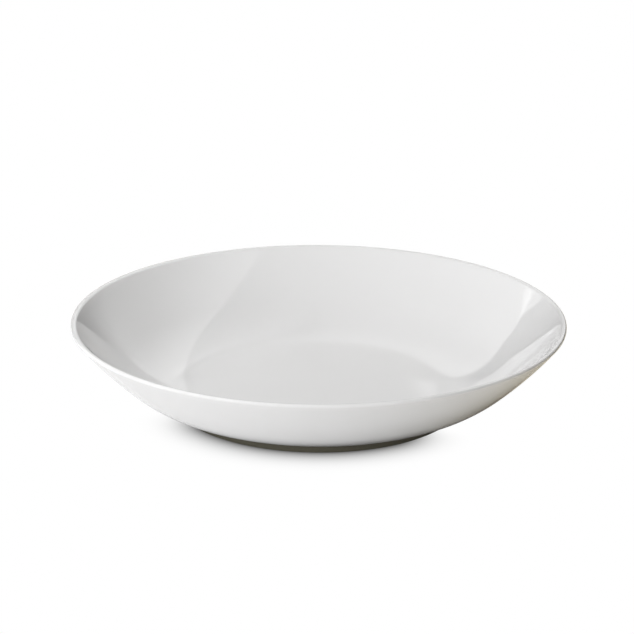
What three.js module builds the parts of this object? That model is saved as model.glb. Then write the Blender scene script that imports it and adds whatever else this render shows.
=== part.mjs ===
// A deep coupe plate in white porcelain: a rimless plate whose wall sweeps up from a flat well.
// Millimetres, +Z up. The origin is the middle of the foot ring, on the table.
// The plate is a fired body on its foot ring, under coats of glaze on the inside, outside and base.
// Every piece is turned from a half section in radius and height, and all take it from one outside curve.
import * as THREE from "three";

// Driving dimensions of the finished plate
const RIM_DIAMETER = 240;
const PLATE_HEIGHT = 42.5;
const RIM_SLOPE_DEGREES = 50.5; // of the wall's outside where it meets the lip
const WELL_CURVE_RADIUS = 60; // outside, from the level base into the wall
const WALL_CURVE_RADIUS = 200; // outside, from there to the lip
const BASE_THICKNESS = 4.8;
const LIP_OUTER_RADIUS = 1;
const LIP_INNER_RADIUS = 2.6;
const FOOT_DIAMETER = 140.6;
const FOOT_WIDTH = 4.5;
const FOOT_HEIGHT = 2.4; // from the table to the underside of the base
const FOOT_EDGE_RADIUS = 0.6;
const GLAZE_THICKNESS = 0.3;

// Clearance between a coat, the body and the foot ring
const BOND_GAP = 0.05;

// Fineness of the turned surfaces
const STEPS_AROUND = 60;
const WELL_CURVE_STEPS = 6;
const WALL_CURVE_STEPS = 3;
const LIP_OUTER_STEPS = 4;
const LIP_INNER_STEPS = 3;
const FOOT_EDGE_STEPS = 2;
const FOOT_TOP_STEPS = 2;
const LEAST_STEP = 0.4; // shortest facet left where a coat starts part way along the curve

const { cos, sin, PI } = Math;
const RIGHT_ANGLE = PI / 2;
const rimSlope = THREE.MathUtils.degToRad(RIM_SLOPE_DEGREES);
const footOuterRadius = FOOT_DIAMETER / 2;
const footInnerRadius = footOuterRadius - FOOT_WIDTH;
const bodyDepth = GLAZE_THICKNESS + BOND_GAP;

// The lip is a small arc outside and a softer one inside, which meet level at its top.
const lipRadius = RIM_DIAMETER / 2 - LIP_OUTER_RADIUS;
const lipOuterHeight = PLATE_HEIGHT - LIP_OUTER_RADIUS;
const lipInnerHeight = PLATE_HEIGHT - LIP_INNER_RADIUS;
const lipThickness = LIP_OUTER_RADIUS * (1 + cos(rimSlope)) + LIP_INNER_RADIUS * (1 - cos(rimSlope));

// The wall's two arcs share a tangent, at the slope that takes them from the base up to the lip.
const wallRise = lipOuterHeight - LIP_OUTER_RADIUS * cos(rimSlope) - FOOT_HEIGHT;
const radiusStep = WALL_CURVE_RADIUS - WELL_CURVE_RADIUS;
const meetingSlope = Math.acos(
  (wallRise - WELL_CURVE_RADIUS + WALL_CURVE_RADIUS * cos(rimSlope)) / radiusStep,
);
const wellCurveReach = WELL_CURVE_RADIUS * sin(meetingSlope);
const wallCurveReach = WALL_CURVE_RADIUS * (sin(rimSlope) - sin(meetingSlope));
const wellRadius = lipRadius + LIP_OUTER_RADIUS * sin(rimSlope) - wallCurveReach - wellCurveReach;
const wallLength = WELL_CURVE_RADIUS * meetingSlope + WALL_CURVE_RADIUS * (rimSlope - meetingSlope);

// Evenly spaced values from first to last.
function spaced(first, last, steps) {
  return Array.from({ length: steps + 1 }, (_, i) => THREE.MathUtils.lerp(first, last, i / steps));
}

// Slopes at which the wall has a facet's edge, from the level base up to the lip, whose arcs end it.
const wallSlopes = [
  ...spaced(0, meetingSlope, WELL_CURVE_STEPS),
  ...spaced(meetingSlope, rimSlope, WALL_CURVE_STEPS).slice(1, -1),
];

// The wall's outside where it has turned to a slope, and a depth under that surface.
function outsidePoint(slope, depth) {
  const wellTurn = Math.min(slope, meetingSlope);
  const radius =
    wellRadius + WELL_CURVE_RADIUS * sin(wellTurn) + WALL_CURVE_RADIUS * (sin(slope) - sin(wellTurn));
  const height =
    FOOT_HEIGHT + WELL_CURVE_RADIUS * (1 - cos(wellTurn)) + WALL_CURVE_RADIUS * (cos(wellTurn) - cos(slope));
  return new THREE.Vector2(radius - depth * sin(slope), height + depth * cos(slope));
}

// The wall thins smoothly from the base to the lip, along the outside curve.
function thicknessAt(slope) {
  const wellTurn = Math.min(slope, meetingSlope);
  const length = WELL_CURVE_RADIUS * wellTurn + WALL_CURVE_RADIUS * (slope - wellTurn);
  const share = THREE.MathUtils.smoothstep(length, 0, wallLength);
  return THREE.MathUtils.lerp(BASE_THICKNESS, lipThickness, share);
}

// The wall's inside at the same slope of the outside, and a depth under that surface.
function insidePoint(slope, depth) {
  return outsidePoint(slope, thicknessAt(slope) - depth);
}

// The slope at which the outside, or a depth under it, stands at a radius.
function slopeAt(radius, depth) {
  const sineOnWellCurve = (radius - wellRadius) / (WELL_CURVE_RADIUS - depth);
  if (sineOnWellCurve <= sin(meetingSlope)) {
    return Math.asin(Math.max(sineOnWellCurve, 0));
  }
  const centreShift = radiusStep * sin(meetingSlope);
  return Math.asin((radius - wellRadius + centreShift) / (WALL_CURVE_RADIUS - depth));
}

// The underside of the plate at a radius, and a depth under that surface.
function undersidePoint(radius, depth) {
  return new THREE.Vector2(radius, outsidePoint(slopeAt(radius, depth), depth).y);
}

// The wall's facet edges that lie clear of two radii, on the outside at a depth.
function outsideBetween(fromRadius, toRadius, depth) {
  const points = wallSlopes.map((slope) => outsidePoint(slope, depth));
  return points.filter((point) => point.x > fromRadius + LEAST_STEP && point.x < toRadius - LEAST_STEP);
}

// An arc about a centre on the section, from one angle to another.
function arc(centreRadius, centreHeight, radius, fromAngle, toAngle, steps) {
  return spaced(fromAngle, toAngle, steps).map(
    (angle) => new THREE.Vector2(centreRadius + radius * cos(angle), centreHeight + radius * sin(angle)),
  );
}

// The lip's outer arc from the wall to its top, less a gap there, at a depth.
function lipOutside(depth, gap) {
  const wallEnd = rimSlope - RIGHT_ANGLE;
  const top = RIGHT_ANGLE - gap / LIP_OUTER_RADIUS;
  return arc(lipRadius, lipOuterHeight, LIP_OUTER_RADIUS - depth, wallEnd, top, LIP_OUTER_STEPS);
}

// The lip's inner arc from its top, less a gap there, down to the inside of the wall, at a depth.
function lipInside(depth, gap) {
  const top = RIGHT_ANGLE + gap / LIP_INNER_RADIUS;
  const wallEnd = rimSlope + RIGHT_ANGLE;
  return arc(lipRadius, lipInnerHeight, LIP_INNER_RADIUS - depth, top, wallEnd, LIP_INNER_STEPS);
}

// The inside from the middle of the well out to the lip, at a depth.
function insideOutwards(depth) {
  const middle = new THREE.Vector2(0, insidePoint(0, depth).y);
  return [middle, ...wallSlopes.map((slope) => insidePoint(slope, depth))];
}

// The fired shell of well, wall and lip.
function porcelainBodySection() {
  const middle = new THREE.Vector2(0, outsidePoint(0, bodyDepth).y);
  const outside = wallSlopes.map((slope) => outsidePoint(slope, bodyDepth));
  const lip = [...lipOutside(bodyDepth, 0), ...lipInside(bodyDepth, 0).slice(1)];
  return [middle, ...outside, ...lip, ...insideOutwards(bodyDepth).reverse()];
}

// The coat inside the plate, from the middle of the well to the top of the lip.
function insideGlazeSection() {
  const onBody = [...insideOutwards(GLAZE_THICKNESS), ...lipInside(GLAZE_THICKNESS, BOND_GAP / 2).reverse()];
  const surface = [...insideOutwards(0), ...lipInside(0, BOND_GAP / 2).reverse()];
  return [...onBody, ...surface.reverse()];
}

// The coat outside the plate, from the foot ring to the top of the lip.
function outsideGlazeSection() {
  const start = footOuterRadius + BOND_GAP;
  const [surface, onBody] = [0, GLAZE_THICKNESS].map((depth) => {
    const lip = lipOutside(depth, BOND_GAP / 2);
    return [undersidePoint(start, depth), ...outsideBetween(start, lip[0].x, depth), ...lip];
  });
  return [...surface, ...onBody.reverse(), surface[0]];
}

// The coat under the base, inside the foot ring.
function baseGlazeSection() {
  const end = footInnerRadius - BOND_GAP;
  const [surface, onBody] = [0, GLAZE_THICKNESS].map((depth) => [
    undersidePoint(0, depth),
    ...outsideBetween(0, end, depth),
    undersidePoint(end, depth),
  ]);
  return [...surface, ...onBody.reverse()];
}

// The ring that the plate stands on, with its tread ground bare and its top against the body.
function footRingSection() {
  const outerEdge = arc(
    footOuterRadius - FOOT_EDGE_RADIUS,
    FOOT_EDGE_RADIUS,
    FOOT_EDGE_RADIUS,
    -RIGHT_ANGLE,
    0,
    FOOT_EDGE_STEPS,
  );
  const innerEdge = arc(
    footInnerRadius + FOOT_EDGE_RADIUS,
    FOOT_EDGE_RADIUS,
    FOOT_EDGE_RADIUS,
    PI,
    PI + RIGHT_ANGLE,
    FOOT_EDGE_STEPS,
  );
  const topRadii = spaced(footOuterRadius, footInnerRadius, FOOT_TOP_STEPS);
  const top = topRadii.map((radius) => undersidePoint(radius, GLAZE_THICKNESS));
  return [...outerEdge, ...top, ...innerEdge, outerEdge[0]];
}

// A piece turned about the plate's axis from its section.
function turned(name, section, material) {
  const geometry = new THREE.LatheGeometry(section, STEPS_AROUND).rotateX(RIGHT_ANGLE);
  const mesh = new THREE.Mesh(geometry, material);
  mesh.name = name;
  return mesh;
}

const glaze = new THREE.MeshStandardMaterial({ color: 0xf3f2ee, roughness: 0.08, metalness: 0 });
const porcelain = new THREE.MeshStandardMaterial({ color: 0xece8de, roughness: 0.7, metalness: 0 });
const bareFoot = new THREE.MeshStandardMaterial({ color: 0x656359, roughness: 0.85, metalness: 0 });

const plate = new THREE.Group();
plate.name = "deep_coupe_plate";
plate.add(
  turned("porcelain_body", porcelainBodySection(), porcelain),
  turned("foot_ring", footRingSection(), bareFoot),
  turned("inside_glaze", insideGlazeSection(), glaze),
  turned("outside_glaze", outsideGlazeSection(), glaze),
  turned("base_glaze", baseGlazeSection(), glaze),
);

export default plate;
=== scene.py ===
"""A deep coupe plate in white glazed porcelain, in a plain studio. Metres, +Z up, the foot on z = 0.

The plate is four turned pieces: the fired body, the bare foot ring, one coat of glaze that runs from
the well over the lip and down to the foot, and the glaze under the base.
"""

import math

import bpy
import numpy as np
from mathutils import Matrix, Vector


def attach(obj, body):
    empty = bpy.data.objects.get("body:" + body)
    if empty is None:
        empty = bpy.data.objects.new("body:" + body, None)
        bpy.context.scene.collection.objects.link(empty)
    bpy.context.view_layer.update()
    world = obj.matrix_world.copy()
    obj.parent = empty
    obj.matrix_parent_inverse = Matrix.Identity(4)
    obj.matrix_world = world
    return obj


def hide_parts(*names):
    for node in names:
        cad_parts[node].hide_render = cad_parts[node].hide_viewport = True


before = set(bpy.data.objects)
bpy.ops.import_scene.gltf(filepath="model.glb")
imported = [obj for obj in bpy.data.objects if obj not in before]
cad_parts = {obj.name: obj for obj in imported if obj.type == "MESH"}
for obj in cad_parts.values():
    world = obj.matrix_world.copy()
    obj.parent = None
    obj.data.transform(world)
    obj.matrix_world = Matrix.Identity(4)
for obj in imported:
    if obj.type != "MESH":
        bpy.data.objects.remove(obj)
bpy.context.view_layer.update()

MM = 0.001

# Sizes of the finished plate, as in the frame
RIM_RADIUS = 120 * MM
PLATE_HEIGHT = 42.5 * MM
RIM_SLOPE = math.radians(50.5)
WELL_CURVE = 60 * MM
WALL_CURVE = 200 * MM
BASE_THICKNESS = 4.8 * MM
LIP_OUTER = 1.0 * MM
LIP_INNER = 2.6 * MM
FOOT_OUTER = 70.3 * MM
FOOT_INNER = 65.8 * MM
FOOT_HEIGHT = 2.4 * MM
FOOT_EDGE = 0.6 * MM
GLAZE = 0.3 * MM
BOND_GAP = 0.05 * MM

# Fineness of the turned surfaces
STEPS_AROUND = 288
WELL_STEPS = 14
WALL_STEPS = 44
LIP_STEPS = 10
FOOT_STEPS = 8
ROLL_STEPS = 6
SHARP_EDGE = math.radians(42)

# The lip's two arcs meet level at its top, and the wall's two arcs share a tangent.
RIGHT_ANGLE = math.pi / 2
LIP_RADIUS = RIM_RADIUS - LIP_OUTER
LIP_THICKNESS = LIP_OUTER * (1 + math.cos(RIM_SLOPE)) + LIP_INNER * (1 - math.cos(RIM_SLOPE))
WALL_RISE = PLATE_HEIGHT - LIP_OUTER * (1 + math.cos(RIM_SLOPE)) - FOOT_HEIGHT
MEETING_SLOPE = math.acos(
    (WALL_RISE - WELL_CURVE + WALL_CURVE * math.cos(RIM_SLOPE)) / (WALL_CURVE - WELL_CURVE)
)
WALL_REACH = WALL_CURVE * (math.sin(RIM_SLOPE) - math.sin(MEETING_SLOPE))
WELL_REACH = WELL_CURVE * math.sin(MEETING_SLOPE)
WELL_RADIUS = LIP_RADIUS + LIP_OUTER * math.sin(RIM_SLOPE) - WALL_REACH - WELL_REACH
WALL_LENGTH = WELL_CURVE * MEETING_SLOPE + WALL_CURVE * (RIM_SLOPE - MEETING_SLOPE)


def wall_outside(slope, depth):
    """Section points where the outside has turned to a slope, and a depth into the wall.

    Up to the meeting slope the outside is an arc of the well curve, then one of the wall curve.
    The depth is taken square to the surface.
    """
    well_turn = np.minimum(slope, MEETING_SLOPE)
    well_radius = WELL_RADIUS + WELL_CURVE * np.sin(well_turn)
    well_height = FOOT_HEIGHT + WELL_CURVE * (1 - np.cos(well_turn))
    radius = well_radius + WALL_CURVE * (np.sin(slope) - np.sin(well_turn))
    height = well_height + WALL_CURVE * (np.cos(well_turn) - np.cos(slope))
    return np.stack([radius - depth * np.sin(slope), height + depth * np.cos(slope)], axis=-1)


def wall_inside(slope, depth):
    """Section points of the inside at a slope of the outside, and a depth into the wall.

    The thickness runs from the base's to the lip's along the outside curve, with a smooth step
    3u² - 2u³.
    """
    well_turn = np.minimum(slope, MEETING_SLOPE)
    share = np.clip((WELL_CURVE * well_turn + WALL_CURVE * (slope - well_turn)) / WALL_LENGTH, 0, 1)
    step = share * share * (3 - 2 * share)
    return wall_outside(slope, BASE_THICKNESS + (LIP_THICKNESS - BASE_THICKNESS) * step - depth)


def underside_slope(radius, depth):
    """The outside's slope where a line at a depth stands at a radius near the foot.

    The sine of the slope is the distance out from the flat base, over the arc's radius less the depth.
    """
    return np.arcsin(np.clip((radius - WELL_RADIUS) / (WELL_CURVE - depth), 0, 1))


def arc(centre, radius, first, last, steps):
    """Section points on a circle about a centre, from one angle to another."""
    angle = np.linspace(first, last, steps + 1)
    return np.asarray(centre) + radius * np.stack([np.cos(angle), np.sin(angle)], axis=-1)


def lip(depth):
    """The lip from the outside over its top to the inside: a small arc, then a softer one."""
    outer_centre = (LIP_RADIUS, PLATE_HEIGHT - LIP_OUTER)
    inner_centre = (LIP_RADIUS, PLATE_HEIGHT - LIP_INNER)
    outer = arc(outer_centre, LIP_OUTER - depth, RIM_SLOPE - RIGHT_ANGLE, RIGHT_ANGLE, LIP_STEPS)
    inner = arc(inner_centre, LIP_INNER - depth, RIGHT_ANGLE, RIM_SLOPE + RIGHT_ANGLE, LIP_STEPS)
    return np.concatenate([outer, inner[1:]])


def level(height, first, last, steps):
    """Section points at one height, evenly from one radius to another."""
    radius = np.linspace(first, last, steps + 1)
    return np.stack([radius, np.full_like(radius, height)], axis=-1)


def glaze_roll(slope, towards_foot):
    """The rounded edge of a coat: half a circle as wide as the coat, from bonded side to surface."""
    middle = wall_outside(slope, GLAZE / 2)
    outward = np.array([math.sin(slope), -math.cos(slope)])
    along = towards_foot * np.array([math.cos(slope), math.sin(slope)])
    turn = np.linspace(math.pi, 0, ROLL_STEPS + 1)[:, None]
    return middle + GLAZE / 2 * (np.cos(turn) * outward + np.sin(turn) * along)


def glaze_coat_section():
    """The coat from the middle of the well, under itself to the foot, and back over its surface."""
    edge = underside_slope(FOOT_OUTER + BOND_GAP + GLAZE / 2, 0)
    up_inside = np.linspace(0, RIM_SLOPE, WALL_STEPS + 1)
    up_outside = np.linspace(edge, RIM_SLOPE, WALL_STEPS + 1)
    well_top = FOOT_HEIGHT + BASE_THICKNESS
    bonded = np.concatenate([
        level(well_top - GLAZE, 0, WELL_RADIUS, WELL_STEPS),
        wall_inside(up_inside, GLAZE)[1:-1],
        lip(GLAZE)[::-1],
        wall_outside(up_outside, GLAZE)[-2:0:-1],
    ])
    surface = np.concatenate([
        wall_outside(up_outside, 0)[1:-1],
        lip(0),
        wall_inside(up_inside, 0)[-2:0:-1],
        level(well_top, WELL_RADIUS, 0, WELL_STEPS),
    ])
    return np.concatenate([bonded, glaze_roll(edge, -1), surface])


def fired_body_section():
    """The porcelain under the coats, from the middle of the base by the lip to that of the well."""
    depth = GLAZE + BOND_GAP
    slopes = np.linspace(0, RIM_SLOPE, WALL_STEPS + 1)
    return np.concatenate([
        level(FOOT_HEIGHT + depth, 0, WELL_RADIUS, WELL_STEPS),
        wall_outside(slopes, depth)[1:-1],
        lip(depth),
        wall_inside(slopes, depth)[-2:0:-1],
        level(FOOT_HEIGHT + BASE_THICKNESS - depth, WELL_RADIUS, 0, WELL_STEPS),
    ])


def foot_section():
    """The ring under the body: a level tread, two rounded edges, and a top that follows the base."""
    outer_centre = (FOOT_OUTER - FOOT_EDGE, FOOT_EDGE)
    inner_centre = (FOOT_INNER + FOOT_EDGE, FOOT_EDGE)
    outer = arc(outer_centre, FOOT_EDGE, -RIGHT_ANGLE, 0, FOOT_STEPS)
    inner = arc(inner_centre, FOOT_EDGE, math.pi, math.pi + RIGHT_ANGLE, FOOT_STEPS)
    top_radius = np.linspace(FOOT_OUTER, FOOT_INNER, FOOT_STEPS + 1)
    top_height = wall_outside(underside_slope(top_radius, GLAZE), GLAZE)[:, 1]
    top = np.stack([top_radius, top_height], axis=-1)
    return np.concatenate([outer, top, inner])


def recess_glaze_section():
    """The coat under the base, from its middle out to the foot and back on its bonded side."""
    edge = underside_slope(FOOT_INNER - BOND_GAP - GLAZE / 2, 0)
    slopes = np.linspace(0, edge, FOOT_STEPS + 1)
    return np.concatenate([
        level(FOOT_HEIGHT, 0, WELL_RADIUS, WELL_STEPS),
        wall_outside(slopes, 0)[1:-1],
        glaze_roll(edge, 1)[::-1],
        wall_outside(slopes, GLAZE)[-2:0:-1],
        level(FOOT_HEIGHT + GLAZE, WELL_RADIUS, 0, WELL_STEPS),
    ])


def turned_mesh(name, section):
    """Carries a section of (radius, height) points once round the plate's axis.

    Point (i, j) is (r_i cos a_j, r_i sin a_j, z_i), with the angles a_j even round the circle.
    A section that starts and ends on the axis gets a single point there, and any other closes on
    itself.
    """
    solid = section[0, 0] == 0
    rings = section[1:-1] if solid else section
    angle = np.arange(STEPS_AROUND) * (2 * np.pi / STEPS_AROUND)
    across = rings[:, 0, None] * np.cos(angle)
    along = rings[:, 0, None] * np.sin(angle)
    height = np.broadcast_to(rings[:, 1, None], across.shape)
    points = np.stack([across, along, height], axis=-1).reshape(-1, 3)
    row = np.arange(len(rings))[:, None] * STEPS_AROUND
    here = np.arange(STEPS_AROUND)
    ahead = np.roll(here, -1)
    lower = row[:-1] if solid else row
    upper = np.roll(row, -1, axis=0)[: len(lower)]
    corners = [lower + here, lower + ahead, upper + ahead, upper + here]
    quads = np.stack(corners, axis=-1).reshape(-1, 4).tolist()
    if solid:
        first_pole = np.full(STEPS_AROUND, len(points))
        last_row = row[-1]
        fans = [
            np.stack([first_pole, ahead, here], axis=-1),
            np.stack([last_row + here, last_row + ahead, first_pole + 1], axis=-1),
        ]
        quads += np.concatenate(fans).tolist()
        poles = np.array([[0, 0, section[0, 1]], [0, 0, section[-1, 1]]])
        points = np.concatenate([points, poles])
    mesh = bpy.data.meshes.new(name)
    mesh.from_pydata(points.tolist(), [], quads)
    mesh.shade_smooth()
    mesh.set_sharp_from_angle(angle=SHARP_EDGE)
    return mesh


def add_piece(name, section, material, slot, *nodes):
    """A turned piece of the plate, which stands for its solids in the frame."""
    mesh = turned_mesh(name, section)
    mesh.materials.append(material)
    piece = bpy.data.objects.new(name, mesh)
    bpy.context.scene.collection.objects.link(piece)
    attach(piece, "root")
    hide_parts(*nodes)


def add_node(tree, kind, inputs=None, **settings):
    """A shader node with its settings, and values on its input sockets by name."""
    made = tree.nodes.new(kind)
    for setting, value in settings.items():
        setattr(made, setting, value)
    for socket, value in (inputs or {}).items():
        made.inputs[socket].default_value = value
    return made


# Clouds of tone to a metre, in every fired surface
CLOUD_SIZE = 22.0


def fired_surface_group():
    """What firing leaves on a surface: slow clouds of tone, fine grain, and a faint waviness.

    The cloud and grain are noise at two sizes. Each moves the colour's brightness about 1 by its
    share, the cloud moves the roughness about its level, and the wave is a third noise given out as
    a height.
    """
    tree = bpy.data.node_groups.new("fired_surface", "ShaderNodeTree")
    sockets = tree.interface
    sockets.new_socket("Place", in_out="INPUT", socket_type="NodeSocketVector")
    sockets.new_socket("Colour", in_out="INPUT", socket_type="NodeSocketColor")
    for name in ("Cloud", "Grain", "Roughness", "Roughness Spread", "Grain Size", "Wave Size"):
        sockets.new_socket(name, in_out="INPUT", socket_type="NodeSocketFloat")
    sockets.new_socket("Colour", in_out="OUTPUT", socket_type="NodeSocketColor")
    sockets.new_socket("Roughness", in_out="OUTPUT", socket_type="NodeSocketFloat")
    sockets.new_socket("Height", in_out="OUTPUT", socket_type="NodeSocketFloat")
    link = tree.links.new
    given = add_node(tree, "NodeGroupInput")
    result = add_node(tree, "NodeGroupOutput")
    cloud = add_node(tree, "ShaderNodeTexNoise", {"Scale": CLOUD_SIZE, "Detail": 3.0, "Roughness": 0.45})
    grain = add_node(tree, "ShaderNodeTexNoise", {"Detail": 2.0, "Roughness": 0.6})
    wave = add_node(tree, "ShaderNodeTexNoise", {"Detail": 1.0, "Roughness": 0.4})
    for noise in (cloud, grain, wave):
        link(given.outputs["Place"], noise.inputs["Vector"])
    link(given.outputs["Grain Size"], grain.inputs["Scale"])
    link(given.outputs["Wave Size"], wave.inputs["Scale"])
    cloud_swing = add_node(tree, "ShaderNodeMath", {1: 0.5}, operation="SUBTRACT")
    grain_swing = add_node(tree, "ShaderNodeMath", {1: 0.5}, operation="SUBTRACT")
    link(cloud.outputs["Fac"], cloud_swing.inputs[0])
    link(grain.outputs["Fac"], grain_swing.inputs[0])
    cloud_tone = add_node(tree, "ShaderNodeMath", {2: 1.0}, operation="MULTIPLY_ADD")
    link(cloud_swing.outputs[0], cloud_tone.inputs[0])
    link(given.outputs["Cloud"], cloud_tone.inputs[1])
    tone = add_node(tree, "ShaderNodeMath", operation="MULTIPLY_ADD")
    link(grain_swing.outputs[0], tone.inputs[0])
    link(given.outputs["Grain"], tone.inputs[1])
    link(cloud_tone.outputs[0], tone.inputs[2])
    shaded = add_node(tree, "ShaderNodeVectorMath", operation="SCALE")
    link(given.outputs["Colour"], shaded.inputs[0])
    link(tone.outputs[0], shaded.inputs["Scale"])
    link(shaded.outputs[0], result.inputs["Colour"])
    rough = add_node(tree, "ShaderNodeMath", operation="MULTIPLY_ADD", use_clamp=True)
    link(cloud_swing.outputs[0], rough.inputs[0])
    link(given.outputs["Roughness Spread"], rough.inputs[1])
    link(given.outputs["Roughness"], rough.inputs[2])
    link(rough.outputs[0], result.inputs["Roughness"])
    link(wave.outputs["Fac"], result.inputs["Height"])
    return tree


FIRED_SURFACE = fired_surface_group()


def fired_material(name, colour, look, bump, ior=1.5):
    """A fired ceramic: the shared unevenness in its own measure, on a Principled surface."""
    material = bpy.data.materials.new(name)
    material.use_nodes = True
    tree = material.node_tree
    tree.nodes.clear()
    link = tree.links.new
    place = add_node(tree, "ShaderNodeTexCoord")
    fired = add_node(tree, "ShaderNodeGroup", node_tree=FIRED_SURFACE)
    fired.inputs["Colour"].default_value = (*colour, 1.0)
    for socket, value in look.items():
        fired.inputs[socket].default_value = value
    relief = add_node(tree, "ShaderNodeBump", {"Strength": bump[0], "Distance": bump[1]})
    surface = add_node(tree, "ShaderNodeBsdfPrincipled", {"IOR": ior})
    result = add_node(tree, "ShaderNodeOutputMaterial")
    link(place.outputs["Object"], fired.inputs["Place"])
    link(fired.outputs["Colour"], surface.inputs["Base Color"])
    link(fired.outputs["Roughness"], surface.inputs["Roughness"])
    link(fired.outputs["Height"], relief.inputs["Height"])
    link(relief.outputs["Normal"], surface.inputs["Normal"])
    link(surface.outputs["BSDF"], result.inputs["Surface"])
    return material


GLAZE_COLOUR = (0.80, 0.80, 0.806)
PORCELAIN_COLOUR = (0.70, 0.66, 0.57)
FOOT_COLOUR = (0.12, 0.113, 0.084)

glaze = fired_material(
    "white_glaze",
    GLAZE_COLOUR,
    {
        "Cloud": 0.02,
        "Grain": 0.01,
        "Roughness": 0.045,
        "Roughness Spread": 0.02,
        "Grain Size": 900.0,
        "Wave Size": 140.0,
    },
    bump=(0.03, 0.01 * MM),
)
porcelain = fired_material(
    "fired_porcelain",
    PORCELAIN_COLOUR,
    {
        "Cloud": 0.05,
        "Grain": 0.06,
        "Roughness": 0.7,
        "Roughness Spread": 0.1,
        "Grain Size": 1400.0,
        "Wave Size": 900.0,
    },
    bump=(0.3, 0.05 * MM),
)
bare_foot = fired_material(
    "bare_foot",
    FOOT_COLOUR,
    {
        "Cloud": 0.12,
        "Grain": 0.25,
        "Roughness": 0.85,
        "Roughness Spread": 0.15,
        "Grain Size": 1600.0,
        "Wave Size": 1300.0,
    },
    bump=(0.5, 0.1 * MM),
)

add_piece("glaze_coat", glaze_coat_section(), glaze, "glaze", "inside_glaze", "outside_glaze")
add_piece("fired_body", fired_body_section(), porcelain, "porcelain", "porcelain_body")
add_piece("foot", foot_section(), bare_foot, "bare_foot", "foot_ring")
add_piece("recess_glaze", recess_glaze_section(), glaze, "glaze", "base_glaze")

# Floor: its size, its tone, its painted shadow under the plate, its painted warm shade away from
# the key light, and the places between which each of them changes
FLOOR_HALF = 6.0
FLOOR_TONE = 0.85
# Painted warm shade: the floor's colour turns warm on the side away from the key light
PAINTED_SHADE_TINT = (1.13, 1.03, 0.80)
PAINTED_WARMTH_ENDS = (-90 * MM, 55 * MM)
# Painted shadow: the floor's colour is dimmed under the plate
PAINTED_SHADOW_TONE = 0.25
PAINTED_SHADOW_ENDS = (70 * MM, 115 * MM)
SEEN_WHITE = (69 * MM, 100 * MM)
SHADE_SIDE = (-0.17, -0.98, 0.0)
SHADE_ENDS = (0.36, 0.76)
KEY_SIDE = (-0.75, -0.66, 0.0)
GLOSS_WHITE = (-160 * MM, 110 * MM)
SHADE_MIDDLE = (14 * MM, 10 * MM, 0.0)
GLOSS_FOOT = (80 * MM, 108 * MM)

# The world's own light
FILL_COLOUR = (1.0, 0.95, 0.80)
FILL = 0.08


def sine(degrees):
    """The sine of an angle in degrees."""
    return math.sin(math.radians(degrees))


def turn(degrees):
    """An angle in degrees, in radians."""
    return math.radians(degrees)


def smooth_step(tree, value, first, last):
    """A value that rises from 0 to 1 between two limits, with no corner at either."""
    limits = {"From Min": first, "From Max": last}
    step = add_node(tree, "ShaderNodeMapRange", limits, interpolation_type="SMOOTHSTEP")
    tree.links.new(value, step.inputs["Value"])
    return step.outputs["Result"]


def combine(tree, operation, first, second):
    """Two values put together by a plain sum, product or maximum."""
    made = add_node(tree, "ShaderNodeMath", operation=operation)
    tree.links.new(first, made.inputs[0])
    tree.links.new(second, made.inputs[1])
    return made.outputs[0]


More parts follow.
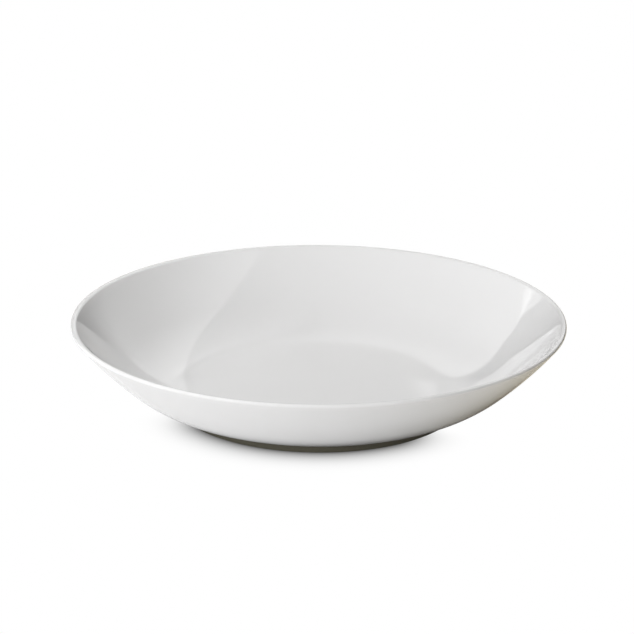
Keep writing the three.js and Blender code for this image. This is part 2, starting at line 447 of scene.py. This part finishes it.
def floor_material():
    """Pale floor: it takes light and shadow near the foot, and turns to plain white further out.

    Its colour carries a painted shadow, dim under the plate, and a painted warm shade on the side away
    from the key light. For what the camera sees straight, the share of white is 1 - (1 - t)³ s, where t
    runs from 0 at the foot to 1 a little way out, and s falls from 1 before and behind the plate to 0 at
    its sides. In gloss and through glass the white lies on the key light's side, and clear of the shadow
    about the foot, so that the plate's outside mirrors a light floor there and its own shadow elsewhere.
    """
    material = bpy.data.materials.new("pale_floor")
    material.use_nodes = True
    tree = material.node_tree
    tree.nodes.clear()
    link = tree.links.new
    place = add_node(tree, "ShaderNodeTexCoord").outputs["Object"]
    path = add_node(tree, "ShaderNodeLightPath")
    lit = add_node(tree, "ShaderNodeBsdfDiffuse")
    white = add_node(tree, "ShaderNodeEmission", {"Color": (1.0, 1.0, 1.0, 1.0)})
    share = add_node(tree, "ShaderNodeMixShader")
    result = add_node(tree, "ShaderNodeOutputMaterial")
    distance = add_node(tree, "ShaderNodeVectorMath", operation="LENGTH")
    link(place, distance.inputs[0])
    # Painted shadow: the floor's tone dims to a low one under the plate
    tone = add_node(tree, "ShaderNodeMapRange", {
        "From Min": PAINTED_SHADOW_ENDS[0],
        "From Max": PAINTED_SHADOW_ENDS[1],
        "To Min": PAINTED_SHADOW_TONE,
        "To Max": FLOOR_TONE,
    }, interpolation_type="SMOOTHSTEP")
    link(distance.outputs["Value"], tone.inputs["Value"])
    towards_key = add_node(tree, "ShaderNodeVectorMath", {1: KEY_SIDE}, operation="DOT_PRODUCT")
    link(place, towards_key.inputs[0])
    # Painted warm shade: the floor's colour is tinted warm on the side away from the key light
    to_white = tuple(1 - channel for channel in PAINTED_SHADE_TINT)
    mix = {1: to_white, 2: PAINTED_SHADE_TINT}
    painted_shade_tint = add_node(tree, "ShaderNodeVectorMath", mix, operation="MULTIPLY_ADD")
    link(smooth_step(tree, towards_key.outputs["Value"], *PAINTED_WARMTH_ENDS), painted_shade_tint.inputs[0])
    painted_shade_colour = add_node(tree, "ShaderNodeVectorMath", operation="SCALE")
    link(painted_shade_tint.outputs["Vector"], painted_shade_colour.inputs[0])
    link(tone.outputs["Result"], painted_shade_colour.inputs["Scale"])
    link(painted_shade_colour.outputs["Vector"], lit.inputs["Color"])
    left_over = add_node(tree, "ShaderNodeMapRange", {
        "From Min": SEEN_WHITE[0],
        "From Max": SEEN_WHITE[1],
        "To Min": 1.0,
        "To Max": 0.0,
    })
    link(distance.outputs["Value"], left_over.inputs["Value"])
    cube = add_node(tree, "ShaderNodeMath", {1: 3.0}, operation="POWER")
    link(left_over.outputs["Result"], cube.inputs[0])
    outward = add_node(tree, "ShaderNodeVectorMath", operation="NORMALIZE")
    link(place, outward.inputs[0])
    in_front = add_node(tree, "ShaderNodeVectorMath", {1: SHADE_SIDE}, operation="DOT_PRODUCT")
    link(outward.outputs["Vector"], in_front.inputs[0])
    off_the_sides = add_node(tree, "ShaderNodeMath", operation="ABSOLUTE")
    link(in_front.outputs["Value"], off_the_sides.inputs[0])
    reach = smooth_step(tree, off_the_sides.outputs[0], *SHADE_ENDS)
    shade = combine(tree, "MULTIPLY", cube.outputs[0], reach)
    seen = add_node(tree, "ShaderNodeMath", {0: 1.0}, operation="SUBTRACT")
    link(shade, seen.inputs[1])
    lit_side = smooth_step(tree, towards_key.outputs["Value"], *GLOSS_WHITE)
    from_shade = add_node(tree, "ShaderNodeVectorMath", {1: SHADE_MIDDLE}, operation="DISTANCE")
    link(place, from_shade.inputs[0])
    clear_of_foot = smooth_step(tree, from_shade.outputs["Value"], *GLOSS_FOOT)
    gloss_white = combine(tree, "MULTIPLY", lit_side, clear_of_foot)
    glossy = path.outputs["Is Glossy Ray"]
    mirrored = combine(tree, "MAXIMUM", glossy, path.outputs["Is Transmission Ray"])
    straight = combine(tree, "MULTIPLY", seen.outputs[0], path.outputs["Is Camera Ray"])
    in_gloss = combine(tree, "MULTIPLY", gloss_white, mirrored)
    link(combine(tree, "MAXIMUM", straight, in_gloss), share.inputs[0])
    link(lit.outputs[0], share.inputs[1])
    link(white.outputs[0], share.inputs[2])
    link(share.outputs[0], result.inputs["Surface"])
    return material


def add_stage_sheet(name, corners, material):
    """A flat sheet of the studio between four corners, which isn't part of the plate."""
    mesh = bpy.data.meshes.new(name)
    mesh.from_pydata(np.asarray(corners).tolist(), [], [[0, 1, 2, 3]])
    mesh.materials.append(material)
    sheet = bpy.data.objects.new(name, mesh)
    bpy.context.scene.collection.objects.link(sheet)


def add_floor():
    """A level square far larger than the plate, at z = 0."""
    corners = FLOOR_HALF * np.array([[-1, -1, 0], [1, -1, 0], [1, 1, 0], [-1, 1, 0]])
    add_stage_sheet("floor", corners, floor_material())


def studio_measures(tree):
    """What places a direction in the studio.

    Its azimuth turns from +Y towards +X. Its height, how far it lies to the left, past the strip's
    edge, above the side panel's top and above the sloping end of the ceiling are sines of angles.
    """
    direction = add_node(tree, "ShaderNodeTexCoord").outputs["Generated"]
    part = add_node(tree, "ShaderNodeSeparateXYZ")
    tree.links.new(direction, part.inputs[0])
    past_edge = []
    for normal in (*STRIP_EDGES, SIDE_PANEL_TOP, CEILING_SLOPE):
        across = add_node(tree, "ShaderNodeVectorMath", {1: normal}, operation="DOT_PRODUCT")
        tree.links.new(direction, across.inputs[0])
        past_edge.append(across.outputs["Value"])
    return {
        "azimuth": combine(tree, "ARCTAN2", part.outputs["X"], part.outputs["Y"]),
        "height": part.outputs["Z"],
        "left": part.outputs["X"],
        "strip": combine(tree, "MAXIMUM", past_edge[0], past_edge[1]),
        "side": past_edge[2],
        "slope": past_edge[3],
    }


def studio_in_gloss(tree):
    """The studio as the glaze mirrors it: a sum of windows.

    Each is a brightness, times a smooth step of each measure that bounds it.
    """
    measures = studio_measures(tree)
    total = None
    for brightness, limits in GLOSS_WINDOWS:
        window = add_node(tree, "ShaderNodeValue")
        window.outputs[0].default_value = brightness
        window = window.outputs[0]
        for measure, first, last in limits:
            step = smooth_step(tree, measures[measure], first, last)
            window = combine(tree, "MULTIPLY", window, step)
        total = window if total is None else combine(tree, "ADD", total, window)
    return total


def set_world():
    """White to the camera, the studio in gloss and through glass, and a dim warm fill as light."""
    world = bpy.data.worlds.new("studio")
    bpy.context.scene.world = world
    world.use_nodes = True
    tree = world.node_tree
    tree.nodes.clear()
    path = add_node(tree, "ShaderNodeLightPath")
    glossy = path.outputs["Is Glossy Ray"]
    mirrored = combine(tree, "MAXIMUM", glossy, path.outputs["Is Transmission Ray"])
    white = add_node(tree, "ShaderNodeBackground", {"Color": (1.0, 1.0, 1.0, 1.0), "Strength": 1.0})
    gloss = add_node(tree, "ShaderNodeBackground", {"Color": (1.0, 1.0, 1.0, 1.0)})
    fill = add_node(tree, "ShaderNodeBackground", {"Color": (*FILL_COLOUR, 1.0), "Strength": FILL})
    indirect = add_node(tree, "ShaderNodeMixShader")
    choice = add_node(tree, "ShaderNodeMixShader")
    result = add_node(tree, "ShaderNodeOutputWorld")
    link = tree.links.new
    link(studio_in_gloss(tree), gloss.inputs["Strength"])
    link(mirrored, indirect.inputs[0])
    link(fill.outputs[0], indirect.inputs[1])
    link(gloss.outputs[0], indirect.inputs[2])
    link(path.outputs["Is Camera Ray"], choice.inputs[0])
    link(indirect.outputs[0], choice.inputs[1])
    link(white.outputs[0], choice.inputs[2])
    link(choice.outputs[0], result.inputs["Surface"])


def add_softbox(name, azimuth, elevation, distance, size, brightness):
    """A flat softbox that faces the plate from a direction, with level edges.

    Azimuth turns from +Y towards +X. The power is pi times area times brightness, so a brightness of
    1 is as bright as white.
    """
    light = bpy.data.lights.new(name, "AREA")
    light.shape = "RECTANGLE"
    light.size, light.size_y = size
    light.energy = math.pi * size[0] * size[1] * brightness
    softbox = bpy.data.objects.new(name, light)
    azimuth, elevation = math.radians(azimuth), math.radians(elevation)
    level_part = math.cos(elevation)
    across = math.sin(azimuth) * level_part
    along = math.cos(azimuth) * level_part
    out = Vector((across, along, math.sin(elevation)))
    facing = out.to_track_quat("Z", "Y").to_matrix().to_4x4()
    softbox.matrix_world = Matrix.Translation(distance * out) @ facing
    softbox.visible_camera = False
    softbox.visible_glossy = False
    bpy.context.scene.collection.objects.link(softbox)


def add_camera():
    """The photograph's view: a long lens above the table, with the picture's middle on its axis."""
    lens = bpy.data.cameras.new("camera")
    lens.sensor_width = 36.0
    lens.lens = CAMERA_LENS
    lens.clip_end = 50.0
    camera = bpy.data.objects.new("camera", lens)
    back = Vector((0, -math.cos(CAMERA_ELEVATION), math.sin(CAMERA_ELEVATION)))
    pitch = Matrix.Rotation(RIGHT_ANGLE - CAMERA_ELEVATION, 4, "X")
    roll = Matrix.Rotation(CAMERA_ROLL, 4, "Z")
    place = Vector(CAMERA_AIM) + CAMERA_DISTANCE * back
    camera.matrix_world = Matrix.Translation(place) @ pitch @ roll
    bpy.context.scene.collection.objects.link(camera)
    bpy.context.scene.camera = camera


# The camera, fitted to the plate's outline: metres, radians and millimetres of focal length
CAMERA_AIM = (-0.85 * MM, 0.0, 42.95 * MM)
CAMERA_DISTANCE = 1.3
CAMERA_ELEVATION = math.radians(18.817)
CAMERA_ROLL = math.radians(0.293)
CAMERA_LENS = 152.07

# What the glaze mirrors: the planes that bound the strip, the side panel and the ceiling's end, then
# each window's brightness and the limits between which its measures fade it in
STRIP_EDGES = ((0.873, -0.240, -0.426), (0.855, 0.150, -0.496))
SIDE_PANEL_TOP = (0.478, -0.100, 0.873)
CEILING_SLOPE = (-0.482, 0.0, 0.876)
GLOSS_WINDOWS = (
    (1.0, (
        ("height", sine(22.4), sine(23.8)),
        ("azimuth", turn(10), turn(-5)),
    )),
    (1.1, (
        ("slope", -0.11, 0.08),
        ("azimuth", turn(4), turn(8)),
    )),
    (0.45, (
        ("height", sine(22.4), sine(23.8)),
        ("left", -0.2, -0.7),
        ("height", sine(65), sine(30)),
    )),
    (0.5, (
        ("strip", -0.003, 0.003),
        ("strip", 0.45, 0.0),
    )),
    (0.65, (
        ("strip", -0.003, 0.003),
        ("strip", 0.45, 0.0),
        ("height", sine(28), sine(60)),
    )),
    (0.4, (
        ("height", sine(21), sine(25)),
        ("height", sine(60), sine(35)),
        ("azimuth", turn(-25), turn(-5)),
        ("azimuth", turn(12), turn(2)),
    )),
    (0.82, (
        ("height", sine(24), sine(21)),
        ("height", sine(2), sine(14)),
        ("azimuth", turn(-14), turn(-3)),
        ("azimuth", turn(8), turn(4)),
    )),
    (1.25, (
        ("azimuth", turn(-39.4), turn(-41.2)),
        ("azimuth", turn(-80), turn(-60)),
        ("side", 0.008, -0.008),
    )),
)

# Softboxes: name, azimuth, elevation, distance, width and height, brightness
SOFTBOXES = (
    ("key_softbox", -165, 17, 1.9, (2.2, 1.0), 2.82),
    ("key_left_softbox", -140, 12, 1.9, (1.2, 0.8), 0.39),
    ("key_high_softbox", -160, 45, 1.9, (1.6, 0.6), 1.0),
    ("near_left_low_softbox", -130, 10, 0.62, (0.5, 0.2), 0.8),
    ("near_left_softbox", -115, 28, 0.55, (0.45, 0.3), 0.44),
    ("near_left_high_softbox", -100, 48, 0.55, (0.5, 0.35), 2.05),
    ("back_left_softbox", -55, 45, 1.9, (1.2, 0.6), 0.5),
    ("back_softbox", -5, 45, 1.9, (1.4, 0.6), 4.5),
    ("right_back_softbox", 35, 47, 1.9, (0.9, 0.6), 0.7),
    ("right_softbox", 100, 45, 1.9, (1.2, 0.6), 0.1),
    ("right_front_softbox", 140, 35, 1.9, (0.9, 0.9), 0.15),
    ("top_softbox", 180, 75, 1.9, (1.0, 0.8), 0.6),
)

add_floor()
set_world()
for softbox_row in SOFTBOXES:
    add_softbox(*softbox_row)
add_camera()
bpy.context.scene.view_settings.view_transform = "Standard"
